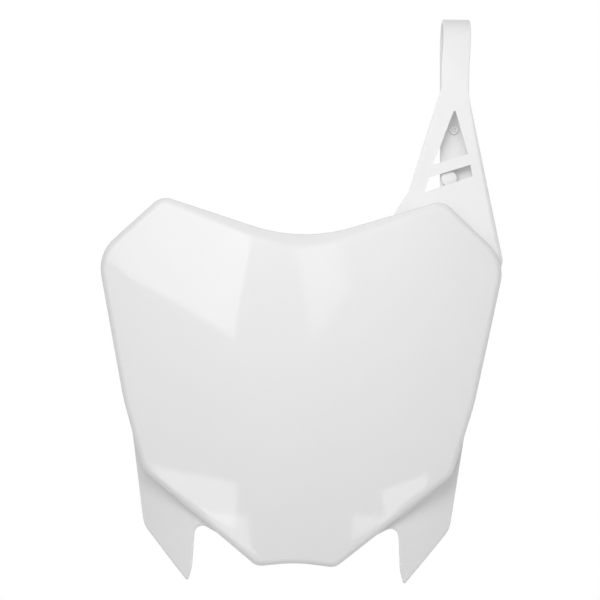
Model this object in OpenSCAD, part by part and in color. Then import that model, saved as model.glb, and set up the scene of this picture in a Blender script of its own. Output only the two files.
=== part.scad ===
// Front number board of an off-road racing motorcycle, one injection-moulded plastic piece.
// The bowed face has a rounded rim and a rolled-back top lip. Two cheeks lie behind the lower rim.
// A strap rises from the upper right, loops round the handlebar and comes down behind its base.
// Millimetres, +Z up. The face looks along -Y. The origin is the axis of the rear lug's hole.

/* [Face] */
// Face half-width at the side corners
face_half = 136; // [110:1:160]
// Height from the bottom corners to the top peaks
face_h = 243.5; // [200:1:280]
// Depth of the bow of the face from the middle to the side corners
bow_depth = 22; // [10:1:40]
// Rise of the crown along the height, from mid height to the peaks
crown_depth = 5.5; // [0:0.5:12]
// Slope of the soft keel at the foot of the face
keel_slope = 0.07; // [0:0.01:0.15]
// Depth of the hollow in the top edge
dip_depth = 27; // [10:1:45]
// Wall thickness of the moulding
wall = 2.5; // [1.8:0.1:4]

/* [Rim] */
// Radius of the rounded rim
rim_r = 4; // [3:0.5:8]
// Width of the rolled-back lip at the middle of the top edge
lip_w = 8; // [3:0.5:14]
// Angle of the lip from the face at the middle of the top edge
lip_angle = 42; // [30:1:70]
// Depth of the rim at the top peaks
peak_flange = 17; // [10:1:24]
// Depth of the rim at the side corners
side_flange = 22; // [12:1:34]
// Depth of the rim along the bottom edge
foot_flange = 7; // [6:0.5:12]

/* [Cheeks] */
// Radius of the cheeks' curve about the vertical
cheek_r = 190; // [150:5:260]
// Set-back of the cheeks behind the middle of the face
cheek_back = 4.5; // [2:0.5:10]
// Half-distance between the cheeks' tips
tip_half = 71.5; // [60:0.5:90]
// Drop of the tips below the bottom edge
tip_drop = 10.6; // [0:0.5:30]
// Radius of the notch between cheek and face
notch_r = 5.5; // [3:0.5:9]

/* [Strap] */
// Position of the strap's middle to the right of the centre line
strap_x = 100.6; // [80:0.2:112]
// Front of the strap behind the middle of the face
strap_y = 29; // [22:1:36]
// Strap width at the neck
strap_w = 18.6; // [14:0.2:28]
// Width of the loop and of the returning end
strap_top_w = 18.4; // [12:0.1:24]
// Strap thickness
strap_t = 2.5; // [1.8:0.1:4]
// Diameter of the handlebar that the loop takes
bar_d = 28.6; // [22:0.1:32]
// Rise of the loop's axis above the top peaks
loop_rise = 106.5; // [80:0.5:130]
// Forward slope of the returning end
tail_lean = 14; // [6:1:18]
// Depth of the folded right margin of the strap's base
margin_depth = 13; // [6:1:20]

/* [Strap windows] */
// Height of the triangular window
tri_h = 34.2; // [20:0.2:40]
// Width of the triangular window
tri_w = 23.2; // [16:0.2:30]
// Rise of the window's lower edges per width
window_slope = 0.33; // [0:0.01:0.5]
// Height of the slot
slot_h = 8.5; // [5:0.5:12]
// Width of the bar between triangle and slot
bar_h = 8.5; // [4:0.5:10]

/* [Strap fastener] */
// Diameter of the boss on the returning end
boss_d = 6.2; // [4:0.2:9]
// Diameter of the dimple in the boss
dimple_d = 3; // [2:0.2:4]
// Diameter of the button at the returning end
button_d = 10.6; // [7:0.2:14]
// Gap between the button and the back of the strap's base
button_gap = 0.4; // [0.2:0.1:1.5]

/* [Rear fixings] */
// Diameter of the hole in the upper lug
lug_bore_d = 6.5; // [5:0.1:9]
// Length of the upper lug's hole
lug_bore_l = 9; // [6:0.5:16]
// Distance of the upper lug's hole behind the middle of the face
lug_reach = 44; // [30:1:60]
// Drop of the upper lug below the top peaks
lug_drop = 43.5; // [36:0.5:60]
// Width of the upper lug at its root
lug_w = 40; // [28:1:60]
// Diameter of the hole in the lower eye
eye_bore_d = 8.2; // [6:0.1:12]
// Distance of the lower eye's hole behind the middle of the face
eye_reach = 27; // [20:1:40]
// Height of the lower eye above the bottom edge
eye_z = 34; // [20:1:60]
// Thickness of the lugs' plates and of the ribs
rib_t = 3; // [2:0.1:5]

/* [Hidden] */
body_colour = [0.95, 0.95, 0.95];
$fn = 64;
cheek_fn = 180;
loop_fn = 96;
boss_fn = 48;

// bow, crown and keel give the front surface of the face at any x and z
bow_r = (pow(face_half, 2) + pow(bow_depth, 2)) / (2 * bow_depth);
mid_z = face_h * 0.45;
crown_k = crown_depth / pow(face_h - mid_z, 2);
keel_round = 9;
function bow(x) = bow_r - sqrt(bow_r * bow_r - x * x);
function keel(x, z) = keel_slope * max(0, 1 - z / (face_h * 0.75))
    * (sqrt(x * x + keel_round * keel_round) - keel_round) * exp(-pow(x / 70, 2));
function face_y(x, z) = bow(x) + crown_k * pow(z - mid_z, 2) + keel(x, z);
function cheek_y(x) = cheek_back + cheek_r - sqrt(cheek_r * cheek_r - x * x);

// the rim's corners, right half from the dip in the top edge down to the middle of the foot
dip_z = face_h - dip_depth;
dip_round = 2.5;
peak_x = face_half * 0.685;
side_z = face_h * 0.84;
waist_x = face_half * 0.854;
waist_z = face_h * 0.445;
heel_x = face_half * 0.753;
heel_z = face_h * 0.256;
toe_x = face_half * 0.19;
toe_z = 0.6;
foot_z = 3.8;
dip_r = face_half * 0.81;
foot_r = face_half * 0.66;
right_side = [[peak_x, face_h, 12], [face_half, side_z, 26], [waist_x, waist_z, 150],
    [heel_x, heel_z, 18], [toe_x, toe_z, 9]];
left_side = [for (i = [len(right_side) - 1 : -1 : 0])
    [-right_side[i][0], right_side[i][1], right_side[i][2]]];
rim_corners = concat([[0, dip_z - dip_round, dip_r]], right_side, [[0, foot_z, foot_r]], left_side);

// arc of radius c[2] that rounds the corner c between its neighbours a and b
function unit(v) = v / norm(v);
function corner_arc(a, c, b, n) =
    let (p = [c[0], c[1]], u = unit([a[0], a[1]] - p), v = unit([b[0], b[1]] - p),
        half = acos(u * v) / 2, reach = c[2] / tan(half),
        mid = p + unit(u + v) * (c[2] / sin(half)),
        s = p + u * reach - mid, e = p + v * reach - mid,
        turn = atan2(s[0] * e[1] - s[1] * e[0], s * e))
    [for (i = [0 : n]) let (t = turn * i / n)
        mid + [s[0] * cos(t) - s[1] * sin(t), s[0] * sin(t) + s[1] * cos(t)]];
function steps_of(c) = c[2] > 60 ? 7 : 6;
function rounded(c) = [for (i = [0 : len(c) - 1])
    each corner_arc(c[(i + len(c) - 1) % len(c)], c[i], c[(i + 1) % len(c)], steps_of(c[i]))];
// long straight runs are divided so that the rim follows the bow
function divided(p, step) = [for (i = [0 : len(p) - 1])
    let (a = p[i], b = p[(i + 1) % len(p)], n = max(1, round(norm(b - a) / step)))
    for (k = [0 : n - 1]) a + (b - a) * k / n];
outline = divided(rounded(rim_corners), 13);
count = len(outline);
// inward direction at each point (the outline runs clockwise seen from the front)
inward = [for (i = [0 : count - 1])
    let (d = unit(outline[(i + 1) % count] - outline[(i + count - 1) % count])) [d[1], -d[0]]];

// the lip grows from the peaks to the middle of the top edge; elsewhere the rim is a plain round
function lip_part(p) = p[1] > face_h * 0.83 && abs(p[0]) < peak_x ? 1 - abs(p[0]) / peak_x : 0;
function wing_depth(p) = max(cheek_y(abs(p[0])) + wall * 1.1 - face_y(p[0], p[1]), foot_flange);
function top_depth(p) = abs(p[0]) < peak_x
    ? lip_w + rim_r + (peak_flange - lip_w - rim_r) * pow(p[0] / peak_x, 2)
    : lookup(p[1], [[side_z, side_flange], [face_h, peak_flange]]);
function rim_depth(p) = p[1] > side_z - 1 ? top_depth(p)
    : p[1] < waist_z ? wing_depth(p)
    : let (k = (p[1] - waist_z) / (side_z - 1 - waist_z))
        wing_depth([waist_x, waist_z]) * (1 - k) + side_flange * k;

// rim profile as [outward, back, direction]: a bend, a straight run, a second bend
bend_n = 3;
least_run = 0.4;
function rim_profile(w) =
    let (a = lip_angle, run = max(least_run, lip_w * w),
        first = [for (i = [0 : bend_n]) let (t = a * i / bend_n)
            [rim_r * sin(t), rim_r * (1 - cos(t)), t]],
        last = first[bend_n] + [run * cos(a), run * sin(a), -a],
        second = [for (i = [0 : bend_n]) let (t = a + (90 - a) * i / bend_n)
            last + [rim_r * (sin(t) - sin(a)), rim_r * (cos(a) - cos(t)), t]])
    concat(first, second);
rings = 2 * (bend_n + 1);
// point of ring k at outline point i, set in by the wall on the inner skin
function rim_point(i, k, inset) =
    let (p = outline[i], prof = rim_profile(lip_part(p)), q = prof[k],
        out = q[0] - inset * sin(q[2]), back = q[1] + inset * cos(q[2]),
        xz = p + inward[i] * (prof[rings - 1][0] - out))
    [xz[0], face_y(xz[0], xz[1]) + back, xz[1]];
function edge_point(i, inset) =
    let (p = outline[i], xz = p + inward[i] * inset) [xz[0], face_y(p[0], p[1]) + rim_depth(p), xz[1]];
// the rings of the face shrink towards one point behind which the surface is filled
hub = [0, face_h * 0.47];
shrink = [0.18, 0.4, 0.62, 0.82];
function face_point(i, s, inset) =
    let (r = rim_point(i, 0, 0), xz = hub + ([r[0], r[2]] - hub) * s)
    [xz[0], face_y(xz[0], xz[1]) + inset, xz[1]];

shell_rings = concat(
    [for (s = shrink) [for (i = [0 : count - 1]) face_point(i, s, 0)]],
    [for (k = [0 : rings - 1]) [for (i = [0 : count - 1]) rim_point(i, k, 0)]],
    [[for (i = [0 : count - 1]) edge_point(i, 0)]],
    [[for (i = [0 : count - 1]) edge_point(i, wall)]],
    [for (k = [rings - 1 : -1 : 0]) [for (i = [0 : count - 1]) rim_point(i, k, wall)]],
    [for (j = [len(shrink) - 1 : -1 : 0]) [for (i = [0 : count - 1]) face_point(i, shrink[j], wall)]]);
shell_points = concat([for (r = shell_rings) each r],
    [[hub[0], face_y(hub[0], hub[1]), hub[1]], [hub[0], face_y(hub[0], hub[1]) + wall, hub[1]]]);
levels = len(shell_rings);
front_hub = levels * count;
shell_faces = concat(
    [for (i = [0 : count - 1]) [front_hub, i, (i + 1) % count]],
    [for (k = [0 : levels - 2]) for (i = [0 : count - 1]) let (j = (i + 1) % count)
        each [[k * count + i, (k + 1) * count + j, k * count + j],
            [k * count + i, (k + 1) * count + i, (k + 1) * count + j]]],
    [for (i = [0 : count - 1]) [front_hub + 1, (levels - 1) * count + (i + 1) % count,
        (levels - 1) * count + i]]);

// radius of corners that stay crisp
crisp = 0.3;

// cheek outline: outer edge, rounded heel, tip, inner edge and notch, closed inside the rim's wall
function at_line(a, b, inset) = let (d = unit([b[0], b[1]] - [a[0], a[1]])) [d[1], -d[0]] * inset;
foot_in = at_line(right_side[3], right_side[4], wall / 2);
waist_in = at_line(right_side[2], right_side[3], wall / 2);
function on_foot(x) = [x, heel_z + (x - heel_x) * (toe_z - heel_z) / (toe_x - heel_x)] + foot_in;
function on_waist(z) = [heel_x + (z - heel_z) * (waist_x - heel_x) / (waist_z - heel_z), z] + waist_in;
cheek_top = on_waist(waist_z + wall);
notch_x = tip_half - 4.5;
notch_z = heel_z - 33.3;
notch_run = 20;
tip_r = 1.2;
hook_in = 2.8;
hook_up = 9;
hook_r = 20;
bend_out = 31;
bend_up = 34.5;
bend_r = 16;
sunk = wall * 2.4;
cheek_corners = [
    [cheek_top[0] + wall / 6, cheek_top[1], crisp],
    [tip_half + bend_out, bend_up - tip_drop, bend_r],
    [tip_half, -tip_drop - tip_r, tip_r],
    [tip_half - hook_in, hook_up - tip_drop, hook_r],
    [notch_x, notch_z, notch_r],
    concat(on_foot(notch_x - notch_run), [crisp]),
    concat(on_foot(heel_x - sunk), [sunk]),
    concat(on_waist(heel_z + sunk), [sunk]),
    [cheek_top[0] - wall / 4, cheek_top[1], crisp]];

// strap: the loop's radii, the heights of neck and tail, and the edges of the neck
loop_slack = 0.2;
loop_r = bar_d / 2 + loop_slack;
strap_out_r = loop_r + strap_t;
loop_y = strap_y + strap_out_r;
loop_z = face_h + loop_rise;
loop_left_x = strap_x + 0.8 - strap_top_w / 2;
loop_right_x = loop_left_x + strap_top_w;
neck_z = face_h + loop_rise * 0.64;
leg_z = loop_z - 14;
neck_run = 20;
tail_foot_z = face_h + 4;
tail_length = (loop_z - tail_foot_z) / cos(tail_lean);
strap_left_x = strap_x - strap_w / 2;
strap_right_x = strap_x + strap_w / 2;
lug_z = face_h - lug_drop;
// the strap's base flares to the left shoulder and to the side corner of the face
shoulder = [strap_left_x - 17.2, neck_z - 51];
root = [strap_left_x - 20.5, neck_z - 64];
base_corner = [face_half - 1.3, side_z];
sheet_drop = 9;
margin_w = 3.6;
leg_bend_r = 20;
shoulder_r = 30;
strap_corners = [
    [loop_left_x, loop_z - 2, crisp],
    [strap_left_x, leg_z, leg_bend_r],
    [strap_left_x, neck_z + 7, leg_bend_r],
    [shoulder[0], shoulder[1], shoulder_r],
    [root[0], root[1], shoulder_r / 2],
    [peak_x - 33, face_h - 15.5, crisp],
    [peak_x - 3, face_h - 7, crisp],
    [face_half - sheet_drop, side_z - sheet_drop / 2, crisp],
    [face_half - 3.4, side_z - sheet_drop, crisp],
    [base_corner[0], base_corner[1], crisp],
    [strap_right_x, neck_z + 2, leg_bend_r],
    [strap_right_x, leg_z, leg_bend_r],
    [loop_right_x, loop_z - 2, crisp]];
// windows in the strap's base
window_r = 0.8;
tri_apex = [strap_x, neck_z - 6];
tri_left = tri_apex[0] - tri_w * 0.6;
tri_foot = tri_apex[1] - tri_h - tri_w * window_slope / 2;
slot_left = tri_left - 2.4;
slot_top = tri_foot - bar_h;
slot_w = tri_w + 4.2;
slot_right_top = slot_top + slot_w * window_slope;
tri_corners = [[tri_apex[0], tri_apex[1], window_r],
    [tri_left + tri_w, tri_foot + tri_w * window_slope, window_r], [tri_left, tri_foot, window_r]];
slot_corners = [[slot_left, slot_top, window_r], [slot_left + slot_w, slot_right_top, window_r],
    [slot_left + slot_w + 1.5, slot_right_top - slot_h + window_r, window_r],
    [slot_left - 2.8, slot_top - slot_h - 1.2, window_r]];
// boss, notch, button and widened foot of the returning end
foot_out = 5;
foot_top = 28;
boss_z = tri_apex[1] - 13.5;
boss_h = 2.2;
dimple_h = 1.8;
edge_notch = [1.6, 5];
button_x = strap_x - 2.7;
button_z = slot_top - slot_h * 0.03;
// rear lugs
lug_end_r = lug_bore_d / 2 + 4.5;
eye_end_r = eye_bore_d / 2 + 3.5;
eye_root_w = 3 * eye_end_r;
gusset_slope = 0.6;

// overlap of joined solids and reach of cutters past what they cut
joint = 0.5;
reach_past = 90;

module face_shell() {
    polyhedron(points = shell_points, faces = shell_faces, convexity = 6);
}

// a front view from y0 back to y1
module seen_from_front(y0, y1) {
    translate([0, y1, 0]) rotate([90, 0, 0]) linear_extrude(y1 - y0) children();
}

// a side view, drawn as [back, up], across x0 to x1
module seen_from_side(x0, x1) {
    translate([x0, 0, 0]) rotate([90, 0, 90]) linear_extrude(x1 - x0) children();
}

module cheek() {
    // a slice of an upright tube, cut to the cheek's outline
    intersection() {
        translate([0, cheek_back + cheek_r, -2 * tip_drop])
            difference() {
                cylinder(r = cheek_r, h = face_h, $fn = cheek_fn);
                translate([0, 0, -joint]) cylinder(r = cheek_r - wall, h = face_h + 2 * joint, $fn = cheek_fn);
            }
        seen_from_front(0, reach_past) polygon(rounded(cheek_corners));
    }
}

module loop_sector(a0, a1) {
    // part of the loop's ring between two directions, drawn as [back, up] from the loop's axis
    reach = 3 * strap_out_r;
    intersection() {
        difference() {
            circle(r = strap_out_r, $fn = loop_fn);
            circle(r = loop_r, $fn = loop_fn);
        }
        polygon([[0, 0], reach * [cos(a0), sin(a0)], reach * [cos((a0 + a1) / 2), sin((a0 + a1) / 2)],
            reach * [cos(a1), sin(a1)]]);
    }
}

module strap_loop() {
    // the loop round the handlebar, the top of the front leg and the end that comes down behind
    seen_from_side(loop_left_x, loop_right_x)
        translate([loop_y, loop_z]) {
            loop_sector(2 * joint - tail_lean, 180);
            translate([-strap_out_r, -neck_run]) square([strap_t, neck_run]);
            rotate(-tail_lean)
                translate([loop_r, -tail_length]) square([strap_t, tail_length + joint]);
        }
}

module strap_front() {
    // front leg and base sheet, with the windows
    difference() {
        seen_from_front(strap_y, strap_y + strap_t) polygon(rounded(strap_corners));
        seen_from_front(0, reach_past) polygon(rounded(tri_corners));
        seen_from_front(0, reach_past) polygon(rounded(slot_corners));
    }
}

module strap_margin() {
    // right margin of the base: a flange behind the edge from the neck to the side corner
    top = [strap_right_x, neck_z];
    run = top - base_corner;
    below = side_z - margin_depth;
    intersection() {
        translate([base_corner[0], strap_y, base_corner[1]])
            rotate([0, atan2(run[0], run[1]), 0])
                linear_extrude(norm(run))
                    polygon([[-strap_t, joint], [0, joint], [0, margin_depth], [-strap_t, margin_depth],
                        [-strap_t, 2 * strap_t], [-2 * strap_t - joint, strap_t - joint],
                        [-2 * strap_t - joint, joint]]);
        // the margin grows from nothing at the neck
        seen_from_side(strap_x, face_half + margin_depth)
            polygon([[strap_y, below], [strap_y, neck_z], [strap_y + joint, neck_z],
                [strap_y + margin_depth, root[1]], [strap_y + margin_depth, below]]);
    }
}

module margin_bevel() {
    // wedge that bevels the front of the right margin, from nothing at the neck
    edge = base_corner - [0, 2];
    drop = margin_w * 0.5;
    polyhedron(points = [[strap_right_x + joint / 10, strap_y - joint / 10, neck_z + 3],
            [edge[0] - margin_w, strap_y, edge[1]], [edge[0], strap_y + drop, edge[1]],
            [edge[0] + margin_w, strap_y - drop, edge[1]]],
        faces = [[0, 1, 2], [0, 2, 3], [0, 3, 1], [3, 2, 1]]);
}

module on_tail(z) {
    // children placed on the middle of the tail's front at height z
    translate([(loop_left_x + loop_right_x) / 2, loop_y, loop_z]) rotate([-tail_lean, 0, 0])
        translate([0, loop_r, -(loop_z - z) / cos(tail_lean)]) children();
}

// front of the tail at height z
function tail_y(z) = loop_y + loop_r / cos(tail_lean) - (loop_z - z) * tan(tail_lean);

module strap_tail() {
    // the loop with the boss and the button on its returning end
    button_front = strap_y + strap_t + button_gap;
    difference() {
        union() {
            strap_loop();
            on_tail(tail_foot_z) translate([0, joint / 10, joint])
                cube([strap_top_w / 2 + foot_out, strap_t - joint / 5, foot_top]);
            on_tail(boss_z) translate([0, joint, 0]) rotate([90, 0, 0])
                cylinder(d = boss_d, h = boss_h + joint, $fn = boss_fn);
            translate([button_x, button_front, button_z]) rotate([-90, 0, 0])
                cylinder(d = button_d, h = tail_y(button_z) + 2 * joint - button_front);
        }
        on_tail(boss_z) translate([0, dimple_h - boss_h, 0]) rotate([90, 0, 0])
            cylinder(d = dimple_d, h = boss_h, $fn = boss_fn);
        // small notch in the left edge
        on_tail(boss_z - 3 * edge_notch[1]) translate([-strap_top_w / 2 - joint, -joint, 0])
            cube([edge_notch[0] + joint, strap_t + 2 * joint, edge_notch[1]]);
    }
}

module lug(z, reach, root_w, end_r, bore_d, bore_l) {
    // level tongue with a bossed upright hole, on two gussets
    root_y = wall * 0.7;
    low = z - reach * gusset_slope;
    base = z + rib_t - bore_l;
    difference() {
        union() {
            translate([0, 0, z]) linear_extrude(rib_t)
                polygon([[-root_w / 2, face_y(root_w / 2, z) + root_y],
                    [root_w / 2, face_y(root_w / 2, z) + root_y], [end_r, reach], [-end_r, reach]]);
            translate([0, reach, base]) cylinder(r = end_r, h = bore_l);
            for (side = [-1, 1])
                translate([side * end_r * 0.75, 0, 0])
                    seen_from_side(-rib_t / 2, rib_t / 2)
                        polygon([[face_y(end_r, z) + root_y, z + rib_t / 3],
                            [reach - end_r / 2, z + rib_t / 3], [reach - end_r / 2, base],
                            [face_y(end_r, low) + root_y, low]]);
        }
        translate([0, reach, base - joint]) cylinder(d = bore_d, h = bore_l + 2 * joint);
    }
}

module number_board() {
    color(body_colour)
        translate([0, -lug_reach, -(lug_z + rib_t - lug_bore_l / 2)])
            union() {
                face_shell();
                cheek();
                mirror([1, 0, 0]) cheek();
                difference() {
                    union() {
                        strap_front();
                        strap_margin();
                    }
                    margin_bevel();
                }
                strap_tail();
                lug(lug_z, lug_reach, lug_w, lug_end_r, lug_bore_d, lug_bore_l);
                lug(eye_z, eye_reach, eye_root_w, eye_end_r, eye_bore_d, lug_bore_l);
            }
}

number_board();
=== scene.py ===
"""Front number board of an off-road motorcycle: one glossy white moulding, seen from the front.

Lengths are millimetres with x to the right, y to the back and z up. y is 0 at the crown of the face
and z is 0 at its bottom edge. The finished mesh is moved to the model's frame at the end.
"""
from math import acos, atan2, cos, exp, pi, radians, sin, sqrt, tan

import bmesh
import bpy
from mathutils import Matrix, Vector

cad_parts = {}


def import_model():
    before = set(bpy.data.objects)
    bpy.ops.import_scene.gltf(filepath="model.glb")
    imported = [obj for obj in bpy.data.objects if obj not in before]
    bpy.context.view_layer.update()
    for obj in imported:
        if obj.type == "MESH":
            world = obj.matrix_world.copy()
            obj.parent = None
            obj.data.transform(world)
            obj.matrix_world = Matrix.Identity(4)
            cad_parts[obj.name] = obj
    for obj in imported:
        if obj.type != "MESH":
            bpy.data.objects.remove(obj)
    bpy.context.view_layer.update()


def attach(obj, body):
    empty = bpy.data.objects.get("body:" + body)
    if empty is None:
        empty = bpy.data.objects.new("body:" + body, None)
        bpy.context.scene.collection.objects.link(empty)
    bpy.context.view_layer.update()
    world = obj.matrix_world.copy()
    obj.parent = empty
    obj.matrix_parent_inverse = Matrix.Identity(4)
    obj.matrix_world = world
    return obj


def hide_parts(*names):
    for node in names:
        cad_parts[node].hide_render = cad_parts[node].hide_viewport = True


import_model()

MM = 0.001

# Face
FACE_HALF = 136             # half the width, at the side corners
FACE_H = 243.5              # foot to peaks
BOW_DEPTH = 22              # how far the sides lie behind the middle
CROWN_DEPTH = 5.5           # how far the peaks lean back
DIP_DEPTH = 27              # dip between the peaks
DIP_FLAT = 2.5              # what the dip's round corner takes off its depth
KEEL_SLOPE = 0.07
KEEL_ROUND = 4              # softens the keel's crest
KEEL_SPREAD = 70            # distance at which the keel fades out
WALL = 2.5

# Rim round the face
RIM_R = 4
LIP_W = 8                   # slanted band along the dip
LIP_ANGLE = radians(42)
LEAST_LIP = 0.4
PEAK_FLANGE, SIDE_FLANGE, FOOT_FLANGE = 17, 22, 7  # depth behind the front

# Cheeks
CHEEK_R = 190               # bend of the sheet, seen from above
CHEEK_BACK = 4.5            # behind the crown of the face
CREASE_R = 3.4              # fillet against the rim
EDGE_R = 2                  # round of the free edge
TIP_HALF = 71.5             # half the distance between the lower tips
TIP_DROP = 10.6             # tips below the face's foot
TIP_R, TIP_OVER = 1.2, 1.25  # the tip's sharp corner lies lower by what its round takes off
ELBOW_OUT, ELBOW_UP, ELBOW_R = 31, 34.5, 16    # outer corner, from the tip
INNER_IN, INNER_UP, INNER_R = 2.8, 9, 20       # slight bend above the tip, on the notch's side
NOTCH_IN, NOTCH_DEPTH, NOTCH_R = 4.5, 33.3, 5.5
NOTCH_RUN = 20              # how far the free edge goes on behind the face

# Strap
STRAP_X, STRAP_Y = 100.6, 29
STRAP_W, STRAP_TOP_W, STRAP_T = 18.6, 18.4, 2.5
BAR_D, BAR_PLAY = 28.6, 0.2  # handlebar in the loop
LOOP_OFFSET = 0.8           # the loop sits this far to the right of the neck
LOOP_RISE = 106.5           # middle of the loop above the peaks
LOOP_TAPER = 14             # below the loop's middle the strap has its full width
TAIL_LEAN = radians(14)     # slope of the returning end
TAIL_END = 4                # it ends this far above the peaks
FOOT_OUT, FOOT_AT = 5, 0.73  # its widened foot: by how much, and from which share of its length
BEND_R = 20
MARGIN_DEPTH, MARGIN_W = 13, 3.6  # right margin that folds back
MARGIN_GROWTH = 0.4         # power with which the margin's fold grows from the neck down
NECK_LEFT_UP, NECK_RIGHT_UP = 7, 2  # where each edge turns outward, above the neck's height
LEFT_FLARE = [(17.2, 51, 30), (20.5, 64, 15)]  # outward, below the neck, radius
LEFT_FOOT_IN, LEFT_FOOT_DROP = 33, 15.5
RIGHT_SIDE_IN, RIGHT_SIDE_R = 1.3, 3
RIGHT_FOOT_IN, RIGHT_FOOT_DROP = 3.4, 9
FOOT_ARCH, ARCH_FROM, ARCH_PEAK = 14, 0.75, 0.4  # arch of the base behind the rim

# Openings and fasteners in the strap
APEX_DROP = 6               # triangle's top below the neck
TRI_H, TRI_W, TRI_LEFT, TRI_R = 34.2, 23.2, 0.6, 0.8
WINDOW_SLOPE = 0.33
SLOT_H, SLOT_R, BAR_H = 8.5, 0.6, 8.5
SLOT_LEFT, SLOT_WIDER = 2.4, 4.2   # further left than the triangle, and wider than it
SLOT_SPREAD = (2.8, 1.5)    # how far its lower left and lower right corners lie further out
SLOT_TILT = (1.2, -0.8)     # and further down
BOSS_D, BOSS_H, BOSS_DROP, DIMPLE_D, DIMPLE_FLOOR = 6.2, 2.2, 13.5, 3, 1.2
BUTTON_D, BUTTON_GAP, BUTTON_LEFT = 10.6, 0.4, 2.7

# Rear fixings
LUG_BORE_D, LUG_BORE_L, LUG_REACH, LUG_DROP, LUG_W, LUG_WALL = 6.5, 9, 44, 43.5, 40, 4.5
EYE_BORE_D, EYE_REACH, EYE_Z, EYE_WALL = 8.2, 27, 34, 3.5
RIB_T = 3

BOW_R = (FACE_HALF ** 2 + BOW_DEPTH ** 2) / (2 * BOW_DEPTH)
MID_Z = FACE_H * 0.45
CROWN_K = CROWN_DEPTH / (FACE_H - MID_Z) ** 2
KEEL_TOP = FACE_H * 0.75
HUB_Z = FACE_H * 0.47
DIP_Z = FACE_H - DIP_DEPTH
PEAK_X = FACE_HALF * 0.685
SIDE_Z = FACE_H * 0.84
SIDE_JOIN = SIDE_Z - 1
WAIST_X, WAIST_Z = FACE_HALF * 0.854, FACE_H * 0.445
HEEL_X, HEEL_Z = FACE_HALF * 0.753, FACE_H * 0.256
TOE_X, TOE_Z, FOOT_Z = FACE_HALF * 0.19, 0.6, 3.8
CHEEK_TOP_Z = WAIST_Z + 3
NOTCH_X = TIP_HALF - NOTCH_IN
LOOP_R = BAR_D / 2 + BAR_PLAY
STRAP_OUT_R = LOOP_R + STRAP_T
LOOP_X, LOOP_Y, LOOP_Z = STRAP_X + LOOP_OFFSET, STRAP_Y + STRAP_OUT_R, FACE_H + LOOP_RISE
NECK_Z = FACE_H + LOOP_RISE * 0.64
LUG_Z = FACE_H - LUG_DROP
FRAME_ORIGIN = Vector((0, LUG_REACH, LUG_Z + RIB_T - LUG_BORE_L / 2))

# Corners of the face's right half from the peak down: x, z, radius
RIM_CORNERS = [(PEAK_X, FACE_H, 12), (FACE_HALF, SIDE_Z, 26), (WAIST_X, WAIST_Z, 150),
               (HEEL_X, HEEL_Z, 18), (TOE_X, TOE_Z, 9)]
DIP_R, FOOT_R = 110, 90


# Front surfaces and lines

def face_y(x, z):
    """Depth of the front of the face: the bow, the crown and the soft keel at the foot."""
    keel = (KEEL_SLOPE * max(0, 1 - z / KEEL_TOP)
            * (sqrt(x * x + KEEL_ROUND ** 2) - KEEL_ROUND) * exp(-(x / KEEL_SPREAD) ** 2))
    return BOW_R - sqrt(BOW_R ** 2 - x * x) + CROWN_K * (z - MID_Z) ** 2 + keel


def cheek_y(x):
    """Depth of the front of the cheeks."""
    return CHEEK_BACK + CHEEK_R - sqrt(CHEEK_R ** 2 - x * x)


def blend(a, b, k):
    """Value at share k of the way from a to b."""
    return a + (b - a) * k


def ramp(v, stations):
    """Straight interpolation between (position, value) stations."""
    for (p, a), (q, b) in zip(stations, stations[1:]):
        if v <= q:
            return blend(a, b, max(0, (v - p) / (q - p)))
    return stations[-1][1]


def rounded(corners, steps, closed=True, support=0):
    """Points of a polygon whose corners (x, z, radius) are rounded.

    An arc takes at most 0.42 of each side that it joins. With support, a point lies beside each end
    of each arc, by at most 0.05 of the shorter side, so that the arc stays crisp.
    """
    points = []
    n = len(corners)
    for i, (x, z, r) in enumerate(corners):
        p = Vector((x, z))
        if not closed and i in (0, n - 1):
            points.append(p)
            continue
        a = Vector(corners[i - 1][:2]) - p
        b = Vector(corners[(i + 1) % n][:2]) - p
        half = acos(max(-1, min(1, a.normalized() @ b.normalized()))) / 2
        reach = min(r / tan(half), 0.42 * a.length, 0.42 * b.length)
        r = reach * tan(half)
        extra = min(support, 0.05 * min(a.length, b.length))
        mid = p + (a.normalized() + b.normalized()).normalized() * (r / sin(half))
        s, e = p + a.normalized() * reach - mid, p + b.normalized() * reach - mid
        turn = atan2(s.x * e.y - s.y * e.x, s @ e)
        if support:
            points.append(p + a.normalized() * (reach + extra))
        for k in range(steps + 1):
            t = turn * k / steps
            arm = Vector((s.x * cos(t) - s.y * sin(t), s.x * sin(t) + s.y * cos(t)))
            points.append(mid + arm)
        if support:
            points.append(p + b.normalized() * (reach + extra))
    return points


def divided(points, step):
    """The closed outline with its long straight runs divided."""
    out = []
    for a, b in zip(points, points[1:] + points[:1]):
        n = max(1, round((b - a).length / step))
        out += [a.lerp(b, k / n) for k in range(n)]
    return out


def lengths(points):
    """Distance along an open line at each of its points, as a share of the whole."""
    total = [0]
    for a, b in zip(points, points[1:]):
        total.append(total[-1] + (b - a).length)
    return [t / total[-1] for t in total]


def along(points, shares, t):
    """Point at share t of an open line."""
    for k in range(len(points) - 1):
        if t <= shares[k + 1]:
            part = (t - shares[k]) / max(1e-9, shares[k + 1] - shares[k])
            return points[k].lerp(points[k + 1], part)
    return points[-1].copy()


def point_at(line, z):
    """Point at height z of a line that runs downward."""
    for a, b in zip(line, line[1:]):
        if b.y <= z <= a.y:
            return a.lerp(b, (a.y - z) / (a.y - b.y))
    return line[-1]


# Mesh helpers

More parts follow.
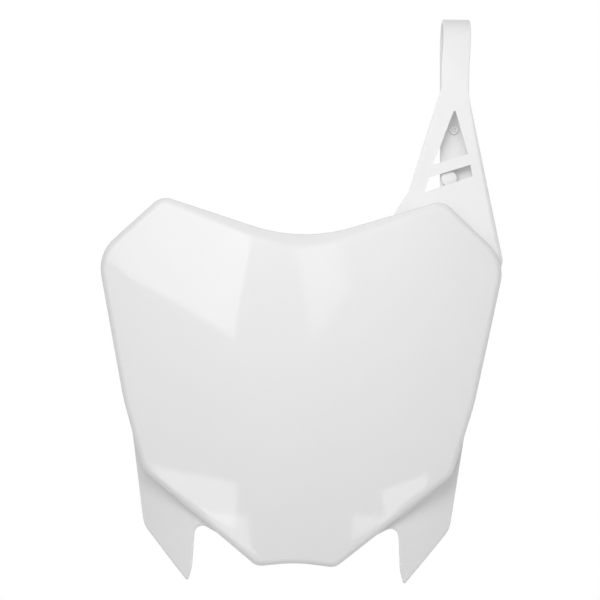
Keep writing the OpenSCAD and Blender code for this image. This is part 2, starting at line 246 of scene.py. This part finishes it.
def surface(bm, rows, ring=True):
    """Grid whose rows of points follow one another. Points that meet are merged afterwards."""
    across, down = len(rows[0]), len(rows)
    nu = across if ring else across - 1
    made = bmesh.ops.create_grid(bm, x_segments=nu, y_segments=down - 1, size=0.5)["verts"]
    for v in made:
        i, k = round((v.co.x + 0.5) * nu), round((v.co.y + 0.5) * (down - 1))
        v.co = rows[k][i % across]


def finished(bm, name):
    """Mesh of bm as a closed solid: meeting points are merged and the faces turned outward."""
    bmesh.ops.remove_doubles(bm, verts=bm.verts, dist=1e-4)
    bmesh.ops.dissolve_degenerate(bm, edges=bm.edges, dist=1e-5)
    bmesh.ops.recalc_face_normals(bm, faces=bm.faces)
    mesh = bpy.data.meshes.new(name)
    bm.to_mesh(mesh)
    bm.free()
    return mesh


def prism(bm, points, shift):
    """Solid between the flat outline points and its copy moved by shift."""
    face = bm.faces.new([bm.verts.new(p) for p in points])
    made = bmesh.ops.extrude_face_region(bm, geom=[face])["geom"]
    verts = [v for v in made if isinstance(v, bmesh.types.BMVert)]
    bmesh.ops.translate(bm, verts=verts, vec=shift)


def softened(bm, width, sharp=radians(50)):
    """Rounds the sharp edges of a prism."""
    bmesh.ops.recalc_face_normals(bm, faces=bm.faces)
    edges = [e for e in bm.edges if e.is_manifold and e.calc_face_angle(0) > sharp]
    bmesh.ops.bevel(bm, geom=edges, offset=width, offset_type="OFFSET", segments=2, profile=0.5,
                    affect="EDGES", material=-1)


def revolved(bm, profile, centre, turn, steps=56):
    """Solid of revolution of profile points (radius, height), placed by a turn and a centre."""
    verts = [bm.verts.new((r, 0, h)) for r, h in profile]
    edges = [bm.edges.new(pair) for pair in zip(verts, verts[1:])]
    if min(r for r, _ in profile) > 0:
        edges.append(bm.edges.new((verts[-1], verts[0])))
    before = set(bm.verts) - set(verts)
    bmesh.ops.spin(bm, geom=verts + edges, cent=(0, 0, 0), axis=(0, 0, 1), dvec=(0, 0, 0),
                   angle=2 * pi, steps=steps, use_merge=True)
    new = [v for v in bm.verts if v not in before]
    bmesh.ops.transform(bm, matrix=Matrix.Translation(centre) @ turn, verts=new)


def cut(mesh, tool):
    """The mesh with the tool's solids cut out."""
    body, cutter = bpy.data.objects.new("body", mesh), bpy.data.objects.new("cutter", tool)
    for o in (body, cutter):
        bpy.context.scene.collection.objects.link(o)
    hole = body.modifiers.new("hole", "BOOLEAN")
    hole.object, hole.operation, hole.solver = cutter, "DIFFERENCE", "EXACT"
    evaluated = body.evaluated_get(bpy.context.evaluated_depsgraph_get())
    result = bpy.data.meshes.new_from_object(evaluated)
    for o in (body, cutter):
        bpy.data.objects.remove(o)
    return result


# Shell: the face, its rim and the rolled-back lip

def rim_outline():
    """Closed outline of the face, from the dip round by the right side."""
    left = [(-x, z, r) for x, z, r in reversed(RIM_CORNERS)]
    corners = [(0, DIP_Z - DIP_FLAT, DIP_R)] + RIM_CORNERS + [(0, FOOT_Z, FOOT_R)] + left
    return divided(rounded(corners, steps=12), step=3.2)


OUTLINE = rim_outline()


def inward_at(i):
    """Direction into the face, square to its outline."""
    d = (OUTLINE[(i + 1) % len(OUTLINE)] - OUTLINE[i - 1]).normalized()
    return Vector((d.y, -d.x))


INWARD = [inward_at(i) for i in range(len(OUTLINE))]


def lip_part(p):
    """Share of the lip's full width: 1 in the middle of the dip, 0 from the peaks on."""
    return 1 - abs(p.x) / PEAK_X if p.y > FACE_H * 0.83 and abs(p.x) < PEAK_X else 0


def wing_depth(p):
    """Depth of the rim where it has to reach behind the cheek's front."""
    return max(cheek_y(abs(p.x)) + WALL * 1.1 - face_y(p.x, p.y), FOOT_FLANGE)


def rim_depth(p):
    """Depth of the rim behind the front surface."""
    if p.y > SIDE_JOIN:
        if abs(p.x) < PEAK_X:
            return LIP_W + RIM_R + (PEAK_FLANGE - LIP_W - RIM_R) * (p.x / PEAK_X) ** 2
        return ramp(p.y, [(SIDE_Z, SIDE_FLANGE), (FACE_H, PEAK_FLANGE)])
    if p.y < WAIST_Z:
        return wing_depth(p)
    rise = (p.y - WAIST_Z) / (SIDE_JOIN - WAIST_Z)
    return blend(wing_depth(Vector((WAIST_X, WAIST_Z))), SIDE_FLANGE, rise)


def rim_profile(share, bend=7):
    """Bend, lip and second bend as (outward, back, direction), each bend in that many steps."""
    run = max(LEAST_LIP, LIP_W * share)
    turns = [LIP_ANGLE * k / bend for k in range(bend + 1)]
    first = [(RIM_R * sin(t), RIM_R * (1 - cos(t)), t) for t in turns]
    x, y, _ = first[-1]
    x, y = x + run * cos(LIP_ANGLE), y + run * sin(LIP_ANGLE)
    turns = [blend(LIP_ANGLE, pi / 2, k / bend) for k in range(bend + 1)]
    second = [(x + RIM_R * (sin(t) - sin(LIP_ANGLE)), y + RIM_R * (cos(LIP_ANGLE) - cos(t)), t)
              for t in turns]
    return first + second


def rim_rows(inset):
    """Rows of points of the rim's skin, set in by inset."""
    profiles = [rim_profile(lip_part(p)) for p in OUTLINE]
    rows = []
    for k in range(len(profiles[0])):
        row = []
        for p, inward, profile in zip(OUTLINE, INWARD, profiles):
            out, back, t = profile[k]
            q = p + inward * (profile[-1][0] - out + inset * sin(t))
            row.append(Vector((q.x, face_y(q.x, q.y) + back + inset * cos(t), q.y)))
        rows.append(row)
    return rows


def flange_row(inset, short):
    """Row on the rim's flange, short of its free edge."""
    row = []
    for p, inward in zip(OUTLINE, INWARD):
        q = p + inward * inset
        row.append(Vector((q.x, face_y(p.x, p.y) + rim_depth(p) - short, q.y)))
    return row


def face_rows(first_row, inset, count):
    """Rows that shrink the rim's first row towards the hub of the face."""
    rows = []
    for k in range(count):
        s = k / count
        row = []
        for p in first_row:
            x, z = p.x * s, HUB_Z + (p.z - HUB_Z) * s
            row.append(Vector((x, face_y(x, z) + inset, z)))
        rows.append(row)
    return rows


def rows_between(first, last, shares):
    """Rows at those shares of the way from one row to another."""
    return [[a.lerp(b, k) for a, b in zip(first, last)] for k in shares]


def shell():
    """The face and its rim as one closed wall, from the hub over the rim to the hub's back."""
    outer, inner = rim_rows(0), rim_rows(WALL)
    front, back = face_rows(outer[0], 0, 26), face_rows(outer[0], WALL, 14)
    r, arc = WALL / 2, 6
    edge = [flange_row(r - r * cos(t), r - r * sin(t))
            for t in (pi * k / arc for k in range(arc + 1))]
    straight = rows_between(outer[-1], edge[0], (0.3, 0.6, 0.93))
    straight_in = rows_between(inner[-1], edge[-1], (0.93, 0.5))
    bm = bmesh.new()
    surface(bm, front + outer + straight + edge + straight_in + inner[::-1] + back[::-1])
    return finished(bm, "shell")


# Cheeks: a fillet along the rim, a curved sheet and a rounded free edge

def cheek_line():
    """Free edge of the right cheek from the waist round the tip to the notch."""
    foot = Vector((TOE_X - HEEL_X, TOE_Z - HEEL_Z)).normalized()
    inside = Vector((foot.y, -foot.x)) * WALL / 2
    end_x = NOTCH_X - NOTCH_RUN
    end = Vector((end_x, HEEL_Z + (end_x - HEEL_X) * foot.y / foot.x)) + inside
    corners = [(WAIST_X - 0.6, CHEEK_TOP_Z, 0),
               (TIP_HALF + ELBOW_OUT, ELBOW_UP - TIP_DROP, ELBOW_R),
               (TIP_HALF, -TIP_DROP - TIP_OVER, TIP_R),
               (TIP_HALF - INNER_IN, INNER_UP - TIP_DROP, INNER_R),
               (NOTCH_X, HEEL_Z - NOTCH_DEPTH, NOTCH_R),
               (end.x, end.y, 0)]
    return rounded(corners, steps=8, closed=False)


def rim_line():
    """The rim's outline beside the right cheek, from the waist to the notch."""
    end_x = NOTCH_X - NOTCH_RUN * 0.75
    run = [(p, i) for p, i in zip(OUTLINE, INWARD) if p.x > end_x and p.y < CHEEK_TOP_Z]
    return [p for p, _ in run], [i for _, i in run]


def cheek_section(a, b, inward):
    """Closed section as (place, back) from the rim at a over the free edge at b and back again.

    It starts and ends inside the rim's wall. Near the ends of the cheek, where the free edge lies
    inside the face, the section is drawn up to almost nothing.
    """
    inner, out = a + inward * WALL / 2, (b - a).normalized()
    width = max(0.01, (b - a).length * (1 if (b - a) @ inward < 0 else 0.02))
    crease, edge = min(CREASE_R, 0.45 * width), min(EDGE_R, 0.3 * width)
    fillet = [pi / 2 * k / 7 for k in range(8)]
    corner = [pi / 2 * k / 6 for k in range(7)]
    return ([(inner, -crease)]
            + [(a + out * crease * (1 - cos(t)), -crease * (1 - sin(t))) for t in fillet]
            + [(a + out * blend(crease, width - edge, s), 0)
               for s in (0.08, 0.25, 0.45, 0.65, 0.85, 0.97)]
            + [(a + out * (width - edge + edge * sin(t)), edge * (1 - cos(t))) for t in corner]
            + [(a + out * blend(0, width - edge, s), WALL)
               for s in (0.97, 0.85, 0.65, 0.45, 0.25, 0.1)]
            + [(a, WALL), (inner, WALL)]
            + [(inner, blend(WALL, -crease, s)) for s in (0.3, 0.6, 0.9)]
            + [(inner, -crease)])


# Share of the cheek's free edge against the share of the rim that lies opposite
CHEEK_MATCH = [(0, 0), (0.46, 0.5), (0.7, 0.68), (0.915, 0.84), (1, 1)]


def cheek(side, steps=150):
    """Right cheek for side 1 and left cheek for side -1, closed to a point at both ends."""
    free, (rim, inwards) = cheek_line(), rim_line()
    free_share, rim_share = lengths(free), lengths(rim)
    sections = []
    for k in range(steps + 1):
        t = k / steps
        on_rim = ramp(t, CHEEK_MATCH)
        a, b = along(rim, rim_share, on_rim), along(free, free_share, t)
        inward = along(inwards, rim_share, on_rim).normalized()
        section = cheek_section(a, b, inward)
        if k in (0, steps):
            end = a + inward * WALL / 2
            section = [(end, WALL / 2)] * len(section)
        sections.append([Vector((p.x, cheek_y(p.x) + back, p.y)) for p, back in section])
    bm = bmesh.new()
    surface(bm, [list(row) for row in zip(*sections)], ring=False)
    if side < 0:
        bmesh.ops.scale(bm, vec=(-1, 1, 1), verts=bm.verts)
    return finished(bm, "cheek")


# Strap: one sweep from the base over the loop to the returning end

def edge_lines():
    """Left and right edge of the front leg and base from the loop down."""
    left_x, right_x = STRAP_X - STRAP_W / 2, STRAP_X + STRAP_W / 2
    full_z = LOOP_Z - LOOP_TAPER
    left = ([(LOOP_X - STRAP_TOP_W / 2, LOOP_Z, 0), (left_x, full_z, BEND_R),
             (left_x, NECK_Z + NECK_LEFT_UP, BEND_R)]
            + [(left_x - out, NECK_Z - down, r) for out, down, r in LEFT_FLARE]
            + [(PEAK_X - LEFT_FOOT_IN, FACE_H - LEFT_FOOT_DROP, 0)])
    right = [(LOOP_X + STRAP_TOP_W / 2, LOOP_Z, 0), (right_x, full_z, BEND_R),
             (right_x, NECK_Z + NECK_RIGHT_UP, BEND_R),
             (FACE_HALF - RIGHT_SIDE_IN, SIDE_Z, RIGHT_SIDE_R),
             (FACE_HALF - RIGHT_FOOT_IN, SIDE_Z - RIGHT_FOOT_DROP, 0)]
    return rounded(left, steps=8, closed=False), rounded(right, steps=8, closed=False)


def strap_section(width, fold):
    """Closed section as (across, back): a sheet whose right margin folds back by fold, 0 to 1."""
    lip = max(0.5, MARGIN_W * fold)
    drop = max(0.5, MARGIN_W * 0.5 * fold)
    depth = STRAP_T + max(0.06, (MARGIN_DEPTH - STRAP_T) * fold)
    inner = min(2.5 * fold + 0.03, 2.5)
    corners = [(0, 0, 0.7), (width - lip, 0, 2 * fold + 0.3), (width, drop, 1.5 * fold + 0.3),
               (width, depth, 0.5), (width - STRAP_T, depth, 0.5),
               (width - STRAP_T - inner, STRAP_T, 1.5), (0, STRAP_T, 0.7)]
    return rounded(corners, steps=4, support=0.4)


def base_rows(count=90):
    """Sections of the base and the front leg, from the foot up.

    From ARCH_FROM on they arch upward, by FOOT_ARCH at the foot, to stay behind the rim.
    """
    left, right = edge_lines()
    left_drop, right_drop = LOOP_Z - left[-1].y, LOOP_Z - right[-1].y
    rows = []
    for k in range(count, 0, -1):
        s = k / count
        a, b = point_at(left, LOOP_Z - left_drop * s), point_at(right, LOOP_Z - right_drop * s)
        fold = min(1, max(0, (NECK_Z - b.y) / (NECK_Z - right[-1].y))) ** MARGIN_GROWTH
        width = (b - a).length
        rise = FOOT_ARCH * max(0, s - ARCH_FROM) / (1 - ARCH_FROM)
        row = []
        for c, back in strap_section(width, fold):
            p = a.lerp(b, c / width)
            arch = 1 - abs(c / width - ARCH_PEAK) / (1 - ARCH_PEAK)
            hump = rise * arch if 0 < c < width else 0
            row.append(Vector((p.x, STRAP_Y + back, p.y + max(0, hump))))
        rows.append(row)
    return rows


def loop_rows(count=44):
    """Sections of the loop and of the returning end with its widened foot."""
    section = strap_section(STRAP_TOP_W, 0)
    x0 = LOOP_X - STRAP_TOP_W / 2
    rows = []
    for k in range(count + 1):
        t = blend(pi, -TAIL_LEAN, k / count)
        rows.append([Vector((x0 + c, LOOP_Y + (STRAP_OUT_R - back) * cos(t),
                             LOOP_Z + (STRAP_OUT_R - back) * sin(t))) for c, back in section])
    length = (LOOP_Z - FACE_H - TAIL_END) / cos(TAIL_LEAN)
    for s, wide in ((0.02, 0), (0.5, 0), (FOOT_AT - 0.001, 0), (FOOT_AT + 0.001, FOOT_OUT),
                    (1, FOOT_OUT)):
        run = s * length
        row = []
        for c, back in section:
            x = x0 + c + (wide if c > STRAP_TOP_W / 2 else 0)
            y = LOOP_Y + (STRAP_OUT_R - back) * cos(TAIL_LEAN) - run * sin(TAIL_LEAN)
            z = LOOP_Z - (STRAP_OUT_R - back) * sin(TAIL_LEAN) - run * cos(TAIL_LEAN)
            row.append(Vector((x, y, z)))
        rows.append(row)
    return rows


def strap():
    """The whole strap, closed at both ends, with its two openings."""
    bm = bmesh.new()
    surface(bm, base_rows() + loop_rows())
    bmesh.ops.remove_doubles(bm, verts=bm.verts, dist=1e-4)
    bmesh.ops.holes_fill(bm, edges=[e for e in bm.edges if e.is_boundary], sides=0)
    return cut(finished(bm, "strap"), window_cutter())


def window_outlines():
    """Corners of the triangle and of the slot, the triangle's apex and the height of the slot."""
    apex = (STRAP_X, NECK_Z - APEX_DROP)
    left = apex[0] - TRI_W * TRI_LEFT
    foot = apex[1] - TRI_H - TRI_W * WINDOW_SLOPE * 0.5
    triangle = [(*apex, TRI_R), (left + TRI_W, foot + TRI_W * WINDOW_SLOPE, TRI_R),
                (left, foot, TRI_R)]
    slot_left, slot_top = left - SLOT_LEFT, foot - BAR_H
    slot_right = slot_left + TRI_W + SLOT_WIDER
    right_top = slot_top + (slot_right - slot_left) * WINDOW_SLOPE
    slot = [(slot_left, slot_top, SLOT_R), (slot_right, right_top, SLOT_R),
            (slot_right + SLOT_SPREAD[1], right_top - SLOT_H - SLOT_TILT[1], SLOT_R),
            (slot_left - SLOT_SPREAD[0], slot_top - SLOT_H - SLOT_TILT[0], SLOT_R)]
    return triangle, slot, apex, slot_top


def window_cutter():
    """Solids that cut the triangle and the slot through the strap's base."""
    margin = 4
    bm = bmesh.new()
    for corners in window_outlines()[:2]:
        points = [(p.x, STRAP_Y - margin, p.y) for p in rounded(corners, steps=4)]
        prism(bm, points, (0, 2 * margin, 0))
    return finished(bm, "windows")


def tail_y(z):
    """Front of the returning end at height z."""
    return LOOP_Y + LOOP_R / cos(TAIL_LEAN) - (LOOP_Z - z) * tan(TAIL_LEAN)


def fasteners():
    """The boss with its dimple and the button, both sunk a little into the returning end."""
    apex, slot_top = window_outlines()[2:]
    bm = bmesh.new()
    boss_z = apex[1] - BOSS_DROP
    r, dimple, sunk = BOSS_D / 2, DIMPLE_D / 2, 0.8
    profile = [(0, -sunk), (r, -sunk), (r, BOSS_H - 0.5), (r - 0.15, BOSS_H - 0.15),
               (r - 0.5, BOSS_H), (dimple + 0.2, BOSS_H), (dimple, BOSS_H - 0.2),
               (dimple, DIMPLE_FLOOR), (0, DIMPLE_FLOOR)]
    turn = Matrix.Rotation(pi / 2 - TAIL_LEAN, 4, "X")
    revolved(bm, profile, Vector((LOOP_X, tail_y(boss_z), boss_z)), turn)
    front = STRAP_Y + STRAP_T + BUTTON_GAP
    button_z = slot_top - SLOT_H * 0.03
    r, depth = BUTTON_D / 2, tail_y(button_z) + 1 - front
    profile = [(0, 0), (r - 0.6, 0), (r - 0.2, -0.2), (r, -0.6), (r, -depth), (0, -depth)]
    centre = Vector((STRAP_X - BUTTON_LEFT, front, button_z))
    revolved(bm, profile, centre, Matrix.Rotation(pi / 2, 4, "X"))
    return finished(bm, "fasteners")


# Rear lugs

def lug(z, reach, root_w, bore_d, wall, bore_l=LUG_BORE_L):
    """Level tongue on two gussets that carries an upright eye, rooted in the face's wall."""
    end_r, root = bore_d / 2 + wall, WALL * 0.7
    bm = bmesh.new()
    near = reach - bore_d / 2 - 1.2
    root_y = face_y(root_w / 2, z) + root
    half = blend(end_r, root_w / 2, (reach - near) / (reach - root_y))
    tongue = [(-root_w / 2, root_y, z), (root_w / 2, root_y, z), (half, near, z), (-half, near, z)]
    prism(bm, tongue, (0, 0, RIB_T))
    low, far = z - reach * 0.6, reach - end_r * 0.62
    for side in (-1, 1):
        x = side * end_r * 0.75 - RIB_T / 2
        gusset = [(x, face_y(end_r, z) + root, z + 1), (x, far, z + 1),
                  (x, far, z + RIB_T - bore_l), (x, face_y(end_r, low) + root, low)]
        prism(bm, gusset, (RIB_T, 0, 0))
    chamfer = 0.5
    softened(bm, chamfer)
    r = bore_d / 2
    profile = [(r, chamfer), (r, bore_l - chamfer), (r + chamfer, bore_l),
               (end_r - chamfer, bore_l), (end_r, bore_l - chamfer), (end_r, chamfer),
               (end_r - chamfer, 0), (r + chamfer, 0)]
    revolved(bm, profile, Vector((0, reach, z + RIB_T - bore_l)), Matrix.Identity(4))
    return finished(bm, "lug")


# Material

def noise(nodes, links, place, scale, detail):
    """Noise texture in the object's own coordinates."""
    made = nodes.new("ShaderNodeTexNoise")
    made.inputs["Scale"].default_value = scale
    made.inputs["Detail"].default_value = detail
    links.new(place.outputs["Object"], made.inputs["Vector"])
    return made.outputs["Fac"]


def white_plastic():
    """Glossy white moulded plastic, faintly uneven in colour, gloss and flatness."""
    material = bpy.data.materials.new("white plastic")
    material.use_nodes = True
    nodes, links = material.node_tree.nodes, material.node_tree.links
    shader = nodes["Principled BSDF"]
    shader.inputs["IOR"].default_value = 1.49
    shader.inputs["Subsurface Weight"].default_value = 0.2
    shader.inputs["Subsurface Radius"].default_value = (1, 1, 1)
    shader.inputs["Subsurface Scale"].default_value = 1.5 * MM
    place = nodes.new("ShaderNodeTexCoord")
    mottle = noise(nodes, links, place, scale=22, detail=3)
    ripple = noise(nodes, links, place, scale=15, detail=0)
    colour = nodes.new("ShaderNodeMix")
    colour.data_type = "RGBA"
    colour.inputs["A"].default_value = (0.83, 0.83, 0.833, 1)
    colour.inputs["B"].default_value = (0.85, 0.85, 0.857, 1)
    gloss = nodes.new("ShaderNodeMapRange")
    gloss.inputs["To Min"].default_value = 0.03
    gloss.inputs["To Max"].default_value = 0.055
    relief = nodes.new("ShaderNodeBump")
    relief.inputs["Strength"].default_value = 1
    relief.inputs["Distance"].default_value = 0.15 * MM
    links.new(mottle, colour.inputs["Factor"])
    links.new(mottle, gloss.inputs["Value"])
    links.new(ripple, relief.inputs["Height"])
    links.new(colour.outputs["Result"], shader.inputs["Base Color"])
    links.new(gloss.outputs["Result"], shader.inputs["Roughness"])
    links.new(relief.outputs["Normal"], shader.inputs["Normal"])
    return material


# The board

def board():
    """All parts as one mesh in the model's frame. Edges under 38 degrees are shaded smooth."""
    eye_w = 3 * (EYE_BORE_D / 2 + EYE_WALL)
    parts = [shell(), cheek(1), cheek(-1), strap(), fasteners(),
             lug(LUG_Z, LUG_REACH, LUG_W, LUG_BORE_D, LUG_WALL),
             lug(EYE_Z, EYE_REACH, eye_w, EYE_BORE_D, EYE_WALL)]
    bm = bmesh.new()
    for mesh in parts:
        bm.from_mesh(mesh)
        bpy.data.meshes.remove(mesh)
    place = Matrix.Scale(MM, 4) @ Matrix.Translation(-FRAME_ORIGIN)
    bmesh.ops.transform(bm, matrix=place, verts=bm.verts)
    for face in bm.faces:
        face.smooth = True
    for edge in bm.edges:
        edge.smooth = edge.calc_face_angle(0) < radians(38)
    mesh = bpy.data.meshes.new("board")
    bm.to_mesh(mesh)
    bm.free()
    obj = bpy.data.objects.new("board", mesh)
    bpy.context.scene.collection.objects.link(obj)
    mesh.materials.append(white_plastic())
    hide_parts("number_board")
    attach(obj, "root")


board()


# Floor, light and camera. Lengths are metres and angles degrees from here on.

AIM = Vector((-0.4, -24, -22.5)) * MM
CAMERA_DISTANCE, CAMERA_ROLL = 1.3, -1.0
SENSOR_W, LENS = 36, 117.8  # millimetres


def seen_directly(nodes, links):
    """1 for the rays of the camera, of gloss and of clear materials, 0 for light on the object."""
    path = nodes.new("ShaderNodeLightPath")
    either = nodes.new("ShaderNodeMath")
    either.operation = "MAXIMUM"
    every = nodes.new("ShaderNodeMath")
    every.operation = "MAXIMUM"
    links.new(path.outputs["Is Camera Ray"], either.inputs[0])
    links.new(path.outputs["Is Glossy Ray"], either.inputs[1])
    links.new(either.outputs[0], every.inputs[0])
    links.new(path.outputs["Is Transmission Ray"], every.inputs[1])
    return every.outputs[0]


def floor_paint():
    """Pale matt paint that glows a little where it is seen, and so looks near white."""
    material = bpy.data.materials.new("floor")
    material.use_nodes = True
    nodes, links = material.node_tree.nodes, material.node_tree.links
    plain = nodes["Principled BSDF"]
    plain.inputs["Base Color"].default_value = (0.85, 0.85, 0.85, 1)
    plain.inputs["Roughness"].default_value = 0.7
    glow = nodes.new("ShaderNodeEmission")
    glow.inputs["Color"].default_value = (0.56, 0.56, 0.56, 1)
    both = nodes.new("ShaderNodeAddShader")
    links.new(seen_directly(nodes, links), glow.inputs["Strength"])
    links.new(plain.outputs[0], both.inputs[0])
    links.new(glow.outputs[0], both.inputs[1])
    links.new(both.outputs[0], nodes["Material Output"].inputs["Surface"])
    return material


def floor():
    """Wide floor well below the board, which keeps its soft shadow."""
    bm = bmesh.new()
    bmesh.ops.create_grid(bm, x_segments=1, y_segments=1, size=3,
                          matrix=Matrix.Translation((0, 0, -0.9)))
    mesh = bpy.data.meshes.new("floor")
    bm.to_mesh(mesh)
    bm.free()
    obj = bpy.data.objects.new("floor", mesh)
    bpy.context.scene.collection.objects.link(obj)
    mesh.materials.append(floor_paint())


def world():
    """Even dim light, seen as white."""
    made = bpy.data.worlds.new("studio")
    made.use_nodes = True
    nodes, links = made.node_tree.nodes, made.node_tree.links
    dim = nodes["Background"]
    dim.inputs["Color"].default_value = (1, 1, 1, 1)
    dim.inputs["Strength"].default_value = 0.41
    white = nodes.new("ShaderNodeBackground")
    white.inputs["Color"].default_value = (1, 1, 1, 1)
    mixed = nodes.new("ShaderNodeMixShader")
    links.new(seen_directly(nodes, links), mixed.inputs["Fac"])
    links.new(dim.outputs[0], mixed.inputs[1])
    links.new(white.outputs[0], mixed.inputs[2])
    links.new(mixed.outputs[0], nodes["World Output"].inputs["Surface"])
    bpy.context.scene.world = made


def soft_box(name, azimuth, elevation, distance, width, height, strength, roll=0, mirrored=True):
    """Rectangular lamp that faces the aim point. Azimuth is to the right of the camera's side.

    Only a mirrored lamp shows in the gloss of the plastic.
    """
    data = bpy.data.lights.new(name, "AREA")
    data.shape = "RECTANGLE"
    data.size, data.size_y = width, height
    data.energy = strength * pi * width * height
    obj = bpy.data.objects.new(name, data)
    bpy.context.scene.collection.objects.link(obj)
    a, e = radians(azimuth), radians(elevation)
    out = Vector((sin(a) * cos(e), -cos(a) * cos(e), sin(e)))
    facing = out.to_track_quat("Z", "Y").to_matrix()
    obj.location = out * distance + AIM
    obj.rotation_euler = (facing @ Matrix.Rotation(radians(roll), 3, "Z")).to_euler()
    obj.visible_camera = False
    obj.visible_glossy = mirrored


def lamps():
    """Lamps that only light the board, then those whose reflections show on it."""
    soft_box("upper", -5, 21, 0.62, 0.3, 0.3, 5.1, mirrored=False)
    soft_box("near", 22, 38, 0.42, 0.12, 0.12, 3.3, mirrored=False)
    soft_box("low side", 92, -36, 0.6, 0.3, 0.3, 1.1, mirrored=False)
    soft_box("rear", 172, 8, 1.7, 0.9, 0.9, 3.0, mirrored=False)
    soft_box("key", -27.7, 13, 2.0, 1.17, 0.67, 1.9, roll=-15)
    soft_box("strap", 4.45, 7.55, 2.0, 0.3, 0.42, 0.9, roll=31)
    soft_box("low left", -23.2, -14.4, 2.0, 0.54, 0.14, 2.1, roll=-9)
    soft_box("lowest left", -17.4, -18.7, 2.0, 0.22, 0.17, 2.1)
    soft_box("low right", 22.8, -14.3, 2.0, 0.3, 0.1, 2.1, roll=14)
    soft_box("lowest right", 18.5, -17.4, 2.0, 0.24, 0.08, 1.9)


def camera():
    """Level camera straight in front of the board."""
    data = bpy.data.cameras.new("camera")
    data.sensor_width, data.lens = SENSOR_W, LENS
    obj = bpy.data.objects.new("camera", data)
    bpy.context.scene.collection.objects.link(obj)
    obj.location = AIM + Vector((0, -CAMERA_DISTANCE, 0))
    obj.rotation_euler = (pi / 2, radians(CAMERA_ROLL), 0)
    bpy.context.scene.camera = obj


floor()
world()
lamps()
camera()
bpy.context.scene.view_settings.view_transform = "Standard"
